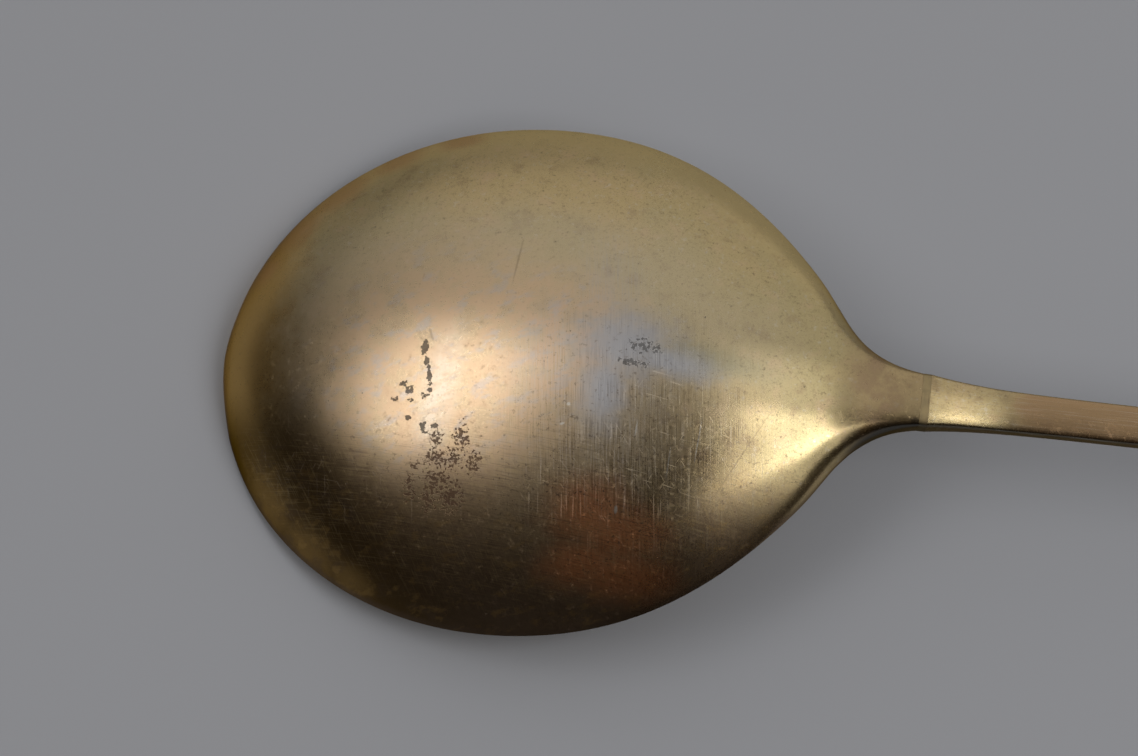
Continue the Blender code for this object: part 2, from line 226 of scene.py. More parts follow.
def hollowAt(shape, along, thickness):  # the same shape inside the wall, rounded off before the neck
    if along <= bowlMake["rimLand"] or along >= hollowEnd:
        return 0.0
    if along < bowlMake["tipRun"]:
        full = shape(bowlMake["tipRun"]) - thickness
        return roundedEnd(along - bowlMake["rimLand"], bowlMake["tipRun"] - bowlMake["rimLand"], full)
    step = 0.00002
    slope = (shape(along + step) - shape(along - step)) / (2 * step)
    into = max(0.0, (along - hollowEnd) / bowlMake["hollowRound"] + 1)
    return (shape(along) - thickness * math.hypot(1, slope)) * math.sqrt(max(0.0, 1 - into**2))


def neckUnder(along):
    share = max(0.0, along - hollowEnd) / bowlMake["neckSolid"]
    return neckRise * share**2 * (3 - 2 * share)


def bowlStations():  # from the neck's end back to the tip, with rings where the hollow starts and ends
    rings = bowlMake["tipRings"]
    tip = [bowlMake["tipRun"] * (1 - math.cos(math.pi / 2 * i / rings)) for i in range(rings)]
    nearest = min(range(1, rings), key=lambda i: abs(tip[i] - bowlMake["rimLand"]))
    tip[nearest] = bowlMake["rimLand"]
    bodyRun = hollowEnd - bowlMake["tipRun"]
    bodyRings = round(bowlMake["backRings"] * bodyRun / (neckEnd - bowlMake["tipRun"]))
    neckRings = bowlMake["backRings"] - bodyRings
    body = [bowlMake["tipRun"] + bodyRun * i / bodyRings for i in range(bodyRings)]
    neck = [hollowEnd + bowlMake["neckSolid"] * i / neckRings for i in range(neckRings + 1)]
    return [(s, wideAt(s), highAt(s)) for s in reversed(tip + body + neck)]


def barPoint(wide, high, angle, squared):  # a point of an oval, or of one squared up like a bar
    power = 1 + (2 / bowlMake["barFullness"] - 1) * squared
    side, rise = abs(math.cos(angle)) ** power, math.copysign(abs(math.sin(angle)) ** power, angle)
    return wide * side, high * rise * (1 - bowlMake["barCrown"] * squared * side**2)


def archPoint(wide, high, angle, squared):  # a point of a round arch, or of a bar; angle 0 is its foot
    if high <= 0:
        return 0.0, 0.0
    low = min(high, wide)
    radius = (wide**2 + low**2) / (2 * low)
    lean = math.asin(min(1.0, wide / radius)) * (1 - 2 * angle / math.pi)
    side, rise = barPoint(wide, high, angle, 1)
    arcSide, arcRise = radius * math.sin(lean), radius * math.cos(lean) - radius + low
    return arcSide + (side - arcSide) * squared, arcRise + (rise - arcRise) * squared


def squareAt(along):  # the back goes from round to flat along the neck
    share = min(1.0, max(0.0, along - bowlMake["flatStart"]) / (neckEnd - bowlMake["flatStart"]))
    return share**bowlMake["flatEase"]


def squareBar(piece, stations, sides, squares):  # square up the upper half of a tube's rings, row by row
    rows = {}
    for n, vert in enumerate(piece.data.vertices):
        wide, high = stations[n // sides][1:]
        angle = math.atan2(vert.co.z / high, abs(vert.co.y) / wide)
        if angle > nearNone:
            rows.setdefault((n // sides, round(angle, 4)), []).append(n)
    bpy.ops.object.mode_set(mode="EDIT")
    for (i, angle), row in rows.items():
        if squares[i] == 0:
            continue
        side, rise = barPoint(1, 1, angle, squares[i])
        across = side / math.cos(angle) if math.cos(angle) > nearNone else 1
        upward = rise / math.sin(angle) if math.sin(angle) > nearNone else 1
        pickVerts(piece, row)
        bpy.ops.transform.resize(value=(1, across, upward), center_override=(stations[i][0], 0, 0))
    bpy.ops.object.mode_set(mode="OBJECT")


def makeBowl():
    stations = bowlStations()
    piece = ringTube("gilt_bowl", stations, bowlMake["sides"])
    rings = {i: [] for i in range(len(stations))}
    for vert in piece.data.vertices:
        rings[min(rings, key=lambda i: abs(stations[i][0] - vert.co.x))].append(vert.index)
    rows = {}  # points of a ring at the same height, upper half first
    for i, (along, wide, high) in enumerate(stations):
        for n in rings[i] if wide > 0 else []:
            place = piece.data.vertices[n].co
            angle = math.atan2(place.z / high, abs(place.y) / wide)
            rows.setdefault((i, round(angle, 4)), []).append(n)

    footAngle = 2 * math.pi / bowlMake["sides"]  # the first row under the rim makes its flat land
    bpy.ops.object.mode_set(mode="EDIT")
    for (i, angle), row in rows.items():
        along, wide, high = stations[i]
        ratio = [1, 1, 1]
        if angle >= 0:
            side, rise = archPoint(wide, high, angle, squareAt(along))
        elif along > hollowEnd:
            side, rise = barPoint(wide, neckUnder(along), angle, 0)
        else:  # the lower half folds up inside the upper one
            inWide = hollowAt(wideAt, along, bowlMake["rimLand"])
            inHigh = hollowAt(highAt, along, bowlMake["wall"])
            share = (-angle - footAngle) / (math.pi / 2 - footAngle)
            side, rise = archPoint(inWide, inHigh, max(0.0, share) * math.pi / 2, squareAt(along))
        if abs(math.cos(angle)) > nearNone:
            ratio[1] = side / (wide * math.cos(angle))
        if abs(math.sin(angle)) > nearNone:
            ratio[2] = rise / (high * math.sin(angle))
        pickVerts(piece, row)
        bpy.ops.transform.resize(value=ratio, center_override=(along, 0, 0))

    # a sharp rim, fading out along the neck
    fadeSteps, ringGap = bowlMake["creaseSteps"], 0.000001
    fadeRun = bowlMake["neckSolid"] / fadeSteps
    bands = [(hollowEnd + fadeRun * (i - 1), hollowEnd + fadeRun * i) for i in range(fadeSteps)]
    bands[0] = (0, hollowEnd)
    for i, (start, end) in enumerate(bands):
        pickEdges(piece, lambda edge: all(abs(v.co.z) < sliceGap for v in edge.verts)
                  and start < (edge.verts[0].co.x + edge.verts[1].co.x) / 2 < end
                  and abs(edge.verts[0].co.x - edge.verts[1].co.x) > ringGap)
        bpy.ops.transform.edge_crease(value=bowlMake["rimCrease"] * (1 - i / fadeSteps))
    bpy.ops.mesh.select_mode(type="VERT")

    for i, station in enumerate(stations):  # bend the neck down towards the stem
        along = station[0]
        if along <= hollowEnd:
            continue
        turn = neckBend * (along - hollowEnd) / bowlMake["neckSolid"]
        shift = hollowEnd + bendRadius * math.sin(turn) - along
        pickVerts(piece, rings[i])
        bpy.ops.transform.rotate(value=-turn, orient_axis="Y", center_override=(along, 0, 0))
        bpy.ops.transform.translate(value=(shift, 0, -bendRadius * (1 - math.cos(turn))))
    bpy.ops.object.mode_set(mode="OBJECT")
    closeSkin()

    bpy.ops.object.mode_set(mode="EDIT")
    pickEdges(piece, lambda edge: any(len(face.verts) > 4 for face in edge.link_faces))  # the neck's end
    bpy.ops.transform.edge_crease(value=1)
    bpy.ops.mesh.select_mode(type="VERT")
    bpy.ops.object.mode_set(mode="OBJECT")
    smoothSkin(piece, bowlMake["levels"])

    pickPiece(piece)
    piece.rotation_euler = (0, -bowlMake["pitch"], 0)
    piece.location = (tipX, 0, -bowlMake["tipWear"])
    bpy.ops.object.transform_apply(location=True, rotation=True)
    bpy.ops.object.mode_set(mode="EDIT")
    bpy.ops.mesh.select_all(action="SELECT")
    bpy.ops.mesh.bisect(plane_co=(0, 0, 0), plane_no=(0, 0, 1), use_fill=True, clear_inner=True,
                        threshold=sliceGap)
    bpy.ops.mesh.select_all(action="SELECT")
    bpy.ops.mesh.normals_make_consistent(inside=False)
    bpy.ops.object.mode_set(mode="OBJECT")
    shadeSmooth(piece)
    return piece


tipSteps = [i * 0.0001 for i in range(60)]
tipLean = max(highAt(s) * pitchSin - s * pitchCos for s in tipSteps)  # the back leans out past the tip
tipX = bowlLow.x + tipLean
bowl = makeBowl()
print("bowl raised:", len(bowl.data.polygons), "faces")


# Stem: a flat-backed bar that leaves the neck downwards, runs on level and swells to a round end

stemMake = {
    "wide": 0.0028, "thick": 0.0022, "endThick": 0.0035,
    "taperRun": 0.0035, "levelRun": 0.012,
    "slopeRun": 0.0062, "slopeStart": 0.62,  # how far the back falls, and how steeply it sets off
    "seamSpace": 0.0006, "rings": 64, "sides": 48,
}

endRadius = stemMake["endThick"] / 2
discLow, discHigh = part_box("muddling_disc")
knopLow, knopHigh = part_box("baluster_knop")
axisHeight = (discLow.z + discHigh.z) / 2
jointRun = hollowEnd + bendRadius * math.sin(neckBend)
jointDrop = bendRadius * (1 - math.cos(neckBend))
jointPoint = Vector((
    tipX + jointRun * pitchCos + jointDrop * pitchSin, 0,
    jointRun * pitchSin - jointDrop * pitchCos - bowlMake["tipWear"],
))
fall = Vector((math.cos(bowlMake["fall"]), 0, -math.sin(bowlMake["fall"])))


def makeStem():
    start = jointPoint + fall * stemMake["seamSpace"]
    length = knopLow.x - stemMake["seamSpace"] - start.x
    thinWide, thinHigh = stemMake["wide"] / 2, stemMake["thick"] / 2
    lean = -math.tan(bowlMake["fall"]) * stemMake["levelRun"]
    drop = axisHeight - start.z
    stations, places, squares = [], [], []
    for i in range(stemMake["rings"] + 1):
        run = length * (i / stemMake["rings"]) ** 2
        bend = min(1.0, run / stemMake["levelRun"])
        height = start.z + drop * bend**2 * (3 - 2 * bend) + lean * bend * (1 - bend) ** 2
        slope = (6 * drop * bend * (1 - bend) + lean * (1 - bend) * (1 - 3 * bend)) / stemMake["levelRun"]
        share = run / length
        swell = share**2 * (3 - 2 * share)
        thin = math.exp(-run / stemMake["taperRun"])
        wide = thinWide + (neckHalf - thinWide) * thin + (endRadius - thinWide) * swell
        gone = min(1.0, run / stemMake["slopeRun"])
        left = 1 - gone**2 * (3 - 2 * gone) - stemMake["slopeStart"] * gone * (1 - gone) ** 2
        high = thinHigh + (neckRise - thinHigh) * left + (endRadius - thinHigh) * swell
        stations.append((start.x + run, wide, high))
        places.append((height, -math.atan(slope)))
        squares.append(1 - swell)
    piece = ringTube("gilt_stem", stations, stemMake["sides"])
    squareBar(piece, stations, stemMake["sides"], squares)
    bpy.ops.object.mode_set(mode="EDIT")
    for i, (height, tilt) in enumerate(places):
        pickVerts(piece, range(i * stemMake["sides"], (i + 1) * stemMake["sides"]))
        bpy.ops.transform.rotate(value=-tilt, orient_axis="Y", center_override=(stations[i][0], 0, 0))
        bpy.ops.transform.translate(value=(0, 0, height))
    bpy.ops.object.mode_set(mode="OBJECT")
    closeSkin()
    shadeSmooth(piece)
    return piece


stem = makeStem()
print("stem drawn:", len(stem.data.polygons), "faces")


# Solder seams: filed almost flush, a fine groove at either side

seamMake = {
    "run": stemMake["seamSpace"], "proud": 0.000002, "groove": 0.000008,
    "smooth": math.radians(30), "sides": 72,
}


def makeSeam(name, start, along, wide, high, squared):
    run, groove, proud = seamMake["run"], seamMake["groove"], seamMake["proud"]
    profile = ((0, -groove), (groove, proud), (run - groove, proud), (run, -groove))
    stations = [(place, wide + out, high + out) for place, out in profile]
    piece = ringTube(name, stations, seamMake["sides"])
    squareBar(piece, stations, seamMake["sides"], [squared] * len(stations))
    pickPiece(piece)
    piece.rotation_euler = rightward.rotation_difference(along).to_euler()
    piece.location = start
    bpy.ops.object.transform_apply(location=True, rotation=True)
    closeSkin()
    shadeSmooth(piece, seamMake["smooth"])
    return piece


rightward = Vector((1, 0, 0))
hubRadius = 0.0025  # where the knop meets the disc
stemEnd = Vector((knopLow.x - seamMake["run"], 0, axisHeight))
knopEnd = Vector((knopHigh.x, 0, axisHeight))
neckSeam = makeSeam("neck_solder_ring", jointPoint, fall, neckHalf, neckRise, 1)
knopSeam = makeSeam("knop_solder_ring", stemEnd, rightward, endRadius, endRadius, 0)
discSeam = makeSeam("disc_solder_ring", knopEnd, rightward, hubRadius, hubRadius, 0)
print("seams run: 3")


# Knop and muddling disc: turned pieces at the handle's end

knopMake = {
    "bead": 0.0026, "beadRun": 0.0018, "cove": 0.0017, "coveRun": 0.0012,
    "swellSteps": 10, "sides": 72,
}
discMake = {
    "edge": 0.0018, "edgeRound": 0.0005, "hubRun": 0.0042, "faceRing": 0.5,
    "flareSteps": 14, "roundSteps": 6, "sides": 96,
}


def turnPiece(name, profile, sides):  # profile: place along X and radius, ends capped
    piece = ringTube(name, [(place, radius, radius) for place, radius in profile], sides)
    pickPiece(piece)
    piece.location = (0, 0, axisHeight)
    bpy.ops.object.transform_apply(location=True)
    closeSkin()
    shadeSmooth(piece)
    return piece


def makeKnop():
    start, end = knopLow.x, knopHigh.x
    belly = (knopHigh.y - knopLow.y) / 2
    bead, cove = knopMake["bead"], knopMake["cove"]
    inner = knopMake["beadRun"] + knopMake["coveRun"]
    nodes = [
        (start, endRadius), (start + knopMake["beadRun"] / 2, bead), (start + knopMake["beadRun"], cove),
        (start + inner, cove), ((start + end) / 2, belly), (end - inner, cove),
        (end - knopMake["beadRun"], cove), (end - knopMake["beadRun"] / 2, bead), (end, hubRadius),
    ]
    profile = [nodes[0]]
    for (place, radius), (nextPlace, nextRadius) in zip(nodes, nodes[1:]):
        for i in range(1, knopMake["swellSteps"] + 1):
            share = i / knopMake["swellSteps"]
            swell = (1 - math.cos(math.pi * share)) / 2
            profile.append((place + (nextPlace - place) * share, radius + (nextRadius - radius) * swell))
    return turnPiece("gilt_knop", profile, knopMake["sides"])


def makeDisc():
    face = discHigh.x
    radius = discHigh.y
    edgeRound = discMake["edgeRound"]
    rearRadius = radius - edgeRound
    profile = [(face - discMake["hubRun"], hubRadius)]
    for i in range(1, discMake["flareSteps"] + 1):
        angle = math.pi / 2 * i / discMake["flareSteps"]
        back = discMake["hubRun"] - (discMake["hubRun"] - discMake["edge"]) * math.sin(angle)
        profile.append((face - back, hubRadius + (rearRadius - hubRadius) * (1 - math.cos(angle))))
    for centre, first in ((face - discMake["edge"] + edgeRound, math.pi), (face - edgeRound, math.pi / 2)):
        for i in range(discMake["roundSteps"] + 1):
            angle = first - math.pi / 2 * i / discMake["roundSteps"]
            profile.append((centre + edgeRound * math.cos(angle), rearRadius + edgeRound * math.sin(angle)))
    profile.append((face, rearRadius * discMake["faceRing"]))
    return turnPiece("gilt_disc", profile, discMake["sides"])


knop = makeKnop()
disc = makeDisc()
print("knop and disc turned")

for piece, node, finish in (
    (bowl, "bowl", "silver_gilt"), (neckSeam, "neck_solder", "silver_solder"), (stem, "stem", "silver_gilt"),
    (knopSeam, "knop_solder", "silver_solder"), (knop, "baluster_knop", "silver_gilt"),
    (discSeam, "disc_solder", "silver_solder"), (disc, "muddling_disc", "silver_gilt"),
):
    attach(piece, "root")
    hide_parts(node)


# Finishes

class Wire:  # one output socket; arithmetic on it adds Math nodes
    def __init__(self, bench, socket):
        self.bench = bench
        self.socket = socket

    def work(self, operation, *values):
        return self.bench.add("ShaderNodeMath", {"operation": operation}, dict(enumerate(values)))

    def __add__(self, other):
        return self.work("ADD", self, other)

    def __sub__(self, other):
        return self.work("SUBTRACT", self, other)

    def __rsub__(self, other):
        return self.work("SUBTRACT", other, self)

    def __mul__(self, other):
        return self.work("MULTIPLY", self, other)

    def __abs__(self):
        return self.work("ABSOLUTE", self)

    def __or__(self, other):  # the stronger of two masks
        return self.work("MAXIMUM", self, other)

    __radd__ = __add__
    __rmul__ = __mul__


class Bench:  # adds nodes to one tree
    def __init__(self, tree):
        self.tree = tree
        self.tree.nodes.clear()

    def add(self, kind, settings=None, sockets=None, output=0):
        node = self.tree.nodes.new(kind)
        for name, value in (settings or {}).items():
            setattr(node, name, value)
        for key, value in (sockets or {}).items():
            if isinstance(value, Wire):
                self.tree.links.new(value.socket, node.inputs[key])
            else:
                node.inputs[key].default_value = value
        return Wire(self, node.outputs[output]) if len(node.outputs) else node

    def step(self, value, low, high):  # 0 at low, 1 at high, eased between
        easing = {"interpolation_type": "SMOOTHSTEP"}
        return self.add("ShaderNodeMapRange", easing, {0: value, 1: low, 2: high})

    def mix(self, share, first, second):
        return self.add("ShaderNodeMix", {"data_type": "RGBA"}, {0: share, 6: first, 7: second}, 2)

    def vector(self, operation, *values, output=0):
        return self.add("ShaderNodeVectorMath", {"operation": operation}, dict(enumerate(values)), output)

    def parts(self, vector):
        split = self.add("ShaderNodeSeparateXYZ", {}, {0: vector})
        return [Wire(self, socket) for socket in split.socket.node.outputs]

    def lean(self):  # how far the surface leans to the side, and how far it faces up
        return self.parts(self.add("ShaderNodeNewGeometry", {}, {}, 1))[1:]

    def paintedShade(self, side, facing):  # painted shade: darkens the near flank and the underside
        return self.step(side, -0.45, -0.85) | self.step(facing, 0.1, -0.2)

    def noise(self, where, scale, detail=2.0, rough=0.5):
        return self.add("ShaderNodeTexNoise", {}, {
            "Vector": where, "Scale": scale, "Detail": detail, "Roughness": rough})

    def stretch(self, where, size, turn=0.0, place=(0, 0, 0)):  # a pattern's own size, turn and centre
        return self.add("ShaderNodeMapping", {"vector_type": "TEXTURE"}, {
            "Vector": where, "Location": place, "Rotation": (0, 0, math.radians(turn)), "Scale": size})

    def spot(self, where, mark, ragged, soft):  # mark: centre, half width, half length, turn
        across, deep, wide, long, turn = mark
        reach, through = 4.0, 10000  # how far around a mark its edge is worked out; it has no depth
        inside = self.stretch(where, (wide * reach, long * reach, through), turn, (across, deep, 0))
        ball = self.add("ShaderNodeTexGradient", {"gradient_type": "SPHERICAL"}, {0: inside}, 1)
        return self.step(ball * reach - ragged, reach - 1 - soft, reach - 1 + soft)

    def spots(self, where, marks, ragged, soft):
        total = self.spot(where, marks[0], ragged, soft)
        for mark in marks[1:]:
            total = total | self.spot(where, mark, ragged, soft)
        return total

    def hair(self, where, turn, long, fine, detail=2.0):  # brushed look along one direction
        return self.noise(self.stretch(where, (fine, long, long), turn), 1.0, detail)

    def scratch(self, where, turn, long, fine, few, crisp=0.06):  # short straight strokes along one direction
        return self.step(self.hair(where, turn, long, fine, 0.0), few, few + crisp)

    def crumble(self, where, marks, ragged, scale, cover):  # a cluster of specks, dense in its middle
        soft, thinning, crisp = 0.75, 0.34, 0.05
        mask = self.spots(where, marks, ragged, soft)
        return self.step(self.noise(where, scale, 3.0, 0.6) + (mask - 1) * thinning, cover, cover + crisp)


def paint(red, green, blue):
    return (red, green, blue, 1)


giltColour = {
    "gold": paint(0.69, 0.525, 0.265), "olive": paint(0.60, 0.485, 0.25), "honey": paint(0.86, 0.66, 0.31),
    "pale": paint(0.73, 0.60, 0.43), "peach": paint(0.79, 0.55, 0.345), "ash": paint(0.60, 0.54, 0.50),
    "rich": paint(0.60, 0.38, 0.13), "bronze": paint(0.13, 0.078, 0.024), "copper": paint(0.64, 0.38, 0.185),
    "ember": paint(0.85, 0.34, 0.14), "brown": paint(0.34, 0.225, 0.135), "umber": paint(0.17, 0.12, 0.08),
    "silver": paint(0.50, 0.495, 0.51), "moss": paint(0.38, 0.365, 0.25),
    # near black for pits and joints, also used for painted shade on near flanks and undersides
    "sootAndShade": paint(0.09, 0.088, 0.082), "plum": paint(0.10, 0.045, 0.03), "nick": paint(0.86, 0.80, 0.70),
}


edgeTint = paint(0.55, 0.45, 0.32)  # tarnish dulls the metal at grazing angles
toMillimetres = (0.001, 0.001, 0.001)
bumpHeight = 0.000001  # one unit of a height pattern

giltMake = {
    "cloud": (0.11, 4.0), "patch": (0.55, 5.0, 0.62), "fleck": (2.4, 4.0, 0.65), "grain": (8.0, 2.0),
    "dent": (0.16, 1.0),  # noises: scale for each millimetre, detail, roughness
    "olive": (0.38, 0.62),
    "mottle": (  # noise, where it starts and is full, strength, colour
        ("patch", 0.50, 0.72, 0.40, "peach"), ("patch", 0.47, 0.30, 0.40, "brown"),
        ("fleck", 0.57, 0.70, 0.34, "umber"), ("fleck", 0.43, 0.30, 0.25, "nick"),
        ("grain", 0.55, 0.72, 0.32, "umber"),
    ),
    "rough": 0.30, "patchRough": 0.10, "grainRough": 0.14, "fleckRough": 0.10,
    "dentHeight": 40.0, "grainHeight": 0.5, "fleckHeight": 0.9,
}


def startFinish(name):  # a new material, its bench and the place on the piece in millimetres
    material = bpy.data.materials.new(name)
    material.use_nodes = True
    bench = Bench(material.node_tree)
    place = bench.add("ShaderNodeTexCoord", {}, {}, 3)
    return material, bench, bench.stretch(place, toMillimetres)


def endFinish(bench, colour, rough, height):
    bump = bench.add("ShaderNodeBump", {}, {"Strength": 1.0, "Distance": bumpHeight, "Height": height})
    shader = bench.add("ShaderNodeBsdfPrincipled", {}, {
        "Base Color": colour, "Metallic": 1.0, "Roughness": rough, "Normal": bump,
        "Specular Tint": edgeTint})
    bench.add("ShaderNodeOutputMaterial", {}, {"Surface": shader})


def giltBase(bench, mm):  # worn satin gilding: cloudy tone, mottling, fine dark specks
    look = {name: bench.noise(mm, *giltMake[name]) for name in ("cloud", "patch", "fleck", "grain")}
    patch, fleck, grain = look["patch"], look["fleck"], look["grain"]
    colour = bench.mix(bench.step(look["cloud"], *giltMake["olive"]), giltColour["gold"], giltColour["olive"])
    for name, start, full, strength, tint in giltMake["mottle"]:
        colour = bench.mix(bench.step(look[name], start, full) * strength, colour, giltColour[tint])
    rough = giltMake["rough"] + giltMake["patchRough"] * (patch - 0.5) + giltMake["grainRough"] * (grain - 0.5)
    look["rough"] = rough + giltMake["fleckRough"] * bench.step(fleck, 0.55, 0.70)
    height = giltMake["dentHeight"] * bench.noise(mm, *giltMake["dent"]) + giltMake["grainHeight"] * grain
    look["height"] = height + giltMake["fleckHeight"] * fleck
    look["colour"] = colour
    return look


def giltFinish(name, addMarks):
    material, bench, mm = startFinish(name)
    look = giltBase(bench, mm)
    addMarks(bench, mm, look)
    endFinish(bench, look["colour"], look["rough"], look["height"])
    return material


def lay(bench, look, mask, colour):
    look["colour"] = bench.mix(mask, look["colour"], giltColour[colour])


# Marks on the bowl's back in millimetres: centre across and deep, half width, half length, turn in degrees
bowlMarks = {
    "worn": [(-91.5, -2.0, 9.5, 9.0, 0), (-85.5, 0.6, 7.0, 5.5, 0)],
    "bright": [(-91.6, -3.6, 1.1, 4.0, -6)],
    "silver": [(-78.8, 0.9, 3.1, 2.4, 0), (-75.8, 0.1, 3.0, 1.1, -8), (-80.0, -2.4, 1.6, 2.8, 0)],
    "silverFade": [(-79.0, -3.6, 3.4, 4.6, 5), (-82.8, -0.2, 3.4, 3.2, 20), (-80.0, 4.4, 2.0, 4.2, 12)],
    "silverPits": [(-77.7, 1.05, 1.1, 0.62, 0), (-76.6, 0.95, 0.5, 0.4, 20), (-78.1, -0.3, 1.5, 0.34, -5)],
    "moss": [(-73.2, 0.5, 3.8, 1.0, -3)],
    "streak": [(-92.95, -0.25, 0.26, 0.6, -8), (-92.66, -1.1, 0.17, 0.62, 12), (-92.36, -2.2, 0.2, 0.75, 8)],
    "tick": [(-92.55, 0.75, 0.08, 0.5, 24)],
    "dots": [(-94.1, -2.8, 0.3, 0.26, 0), (-93.7, -3.25, 0.38, 0.34, 0), (-94.6, -3.9, 0.24, 0.2, 0),
             (-93.5, -4.0, 0.26, 0.2, 0), (-92.5, -3.6, 0.34, 0.26, 0), (-93.5, -5.2, 0.3, 0.22, 0),
             (-92.35, -5.75, 0.3, 0.6, 12), (-91.6, -5.7, 0.24, 0.2, 0), (-92.2, -3.2, 0.2, 0.2, 0)],
    "pits": [(-91.3, -6.6, 0.6, 1.0, 0), (-91.2, -7.9, 1.2, 0.9, 0), (-89.6, -6.5, 0.7, 1.3, 10),
             (-90.2, -8.0, 1.5, 1.0, 0), (-91.0, -9.4, 1.3, 1.3, 8), (-89.9, -10.4, 1.2, 1.5, 0),
             (-91.4, -10.6, 0.9, 1.2, 0), (-92.9, -9.9, 0.6, 1.2, 4), (-92.7, -8.4, 0.5, 0.4, 0),
             (-88.5, -8.0, 0.7, 1.0, 0)],
    # orange patches of painted warm reflection
    "ember": [(-79.9, -10.6, 2.6, 1.9, 0), (-77.8, -11.9, 2.8, 1.7, 0), (-80.2, -14.0, 2.6, 1.3, 10),
              (-77.2, -14.4, 3.0, 1.4, 0)],
    "copper": [(-103.6, 9.9, 1.1, 1.9, -38), (-100.9, 12.9, 1.0, 2.2, -46), (-97.0, 15.9, 0.9, 2.0, -58),
               (-92.6, 17.6, 0.7, 1.6, -72), (-105.6, 6.4, 0.7, 1.2, -28)],
    "amber": [(-103.2, -10.6, 0.9, 2.0, 36), (-99.8, -13.9, 0.9, 2.2, 52), (-96.6, -15.7, 0.7, 1.6, 60)],
    "mark": [(-87.1, 6.8, 0.07, 1.6, -6)],
    "score": [(-69.8, -5.6, 0.045, 3.6, -28)],
    "stain": [(-61.2, -2.7, 0.7, 0.35, 30)],
    "notch": [(-58.0, -1.75, 0.28, 0.3, 0)],
    "nicks": [(-82.3, -3.6, 0.14, 0.12, 0), (-82.6, -5.0, 0.16, 0.08, 20), (-77.4, -4.9, 0.06, 0.5, -5),
              (-74.9, -6.9, 0.04, 1.0, -2), (-73.0, -5.2, 0.035, 1.4, -4), (-78.2, -10.4, 0.12, 0.26, 0)],
    "shade": [(-72.6, -11.8, 6.5, 3.4, 12)],
    "dusk": [(-79.5, -4.6, 9.5, 4.6, 8)],
    "middle": [(-77.5, -5, 8, 7.5, 0)],
}

# How strongly each tone and mark shows, from 0 to 1; in a pair, the least and what a pattern adds
# low, edge, ring, corner, lowBlotch, lowRich, rim, wall and the neck's dark flank are painted shade; the orange
# patches are a painted warm reflection
bowlTones = {
    "pale": 0.38, "honey": 0.80, "peach": (0.45, 0.50), "ash": 0.55, "bright": 0.45,
    "low": 0.80, "edge": 0.75, "ring": (0.14, 0.40), "tip": 0.92, "corner": 0.85,
    "amber": 0.38, "copper": 0.62, "moss": 0.60, "shade": 0.42, "dusk": 0.12,
    "lowBlotch": 0.36, "lowRich": 0.35, "ember": 0.80, "rim": 0.70,
    "silver": 0.95, "fade": 0.32, "halo": (0.35, 0.65),
    "uprightPale": 0.20, "uprightDark": 0.32, "slantGold": 0.30, "levelGold": 0.25, "levelDark": 0.40,
    "stroke": (0.10, 0.90), "line": 0.13, "nick": 0.80, "speck": 0.20, "speckNear": 0.40, "speckMiddle": 0.30,
    "pit": 0.68, "scar": 0.66, "thin": 0.32, "stain": 0.80,
    "neck": (0.32, 0.35), "paintedShade": 0.88, "wall": 0.85, "notch": 0.50,
}
bowlHairs = {  # turn, length, width
    "upright": (6.5, 2.6, 0.07), "slant": (32, 1.4, 0.06), "level": (84, 2.2, 0.07),
}
bowlStrokes = [  # turn, length, width, how few
    (6.5, 2.4, 0.07, 0.75), (40, 1.1, 0.06, 0.77), (-26, 1.0, 0.06, 0.78), (80, 1.4, 0.06, 0.77),
]
bowlCrumbs = {  # ragged edge, scale, cover
    "pits": (0.25, 4.2, 0.465), "dots": (0.15, 3.6, 0.40),
    "silverPits": (0.2, 4.0, 0.44), "streak": (0.25, 2.4, 0.38),
}
bowlWear = {
    "polish": 0.09, "hollowRough": 0.20, "lineRough": 0.16,
    "lowRough": 0.06, "silverRough": 0.12, "hairRough": 0.14,
    "hairHeight": 0.8, "hollowDeep": 10.0, "lineDeep": 0.5,
}


def between(ends, mask):  # a strength that grows with a mask
    least, more = ends
    return least + more * mask


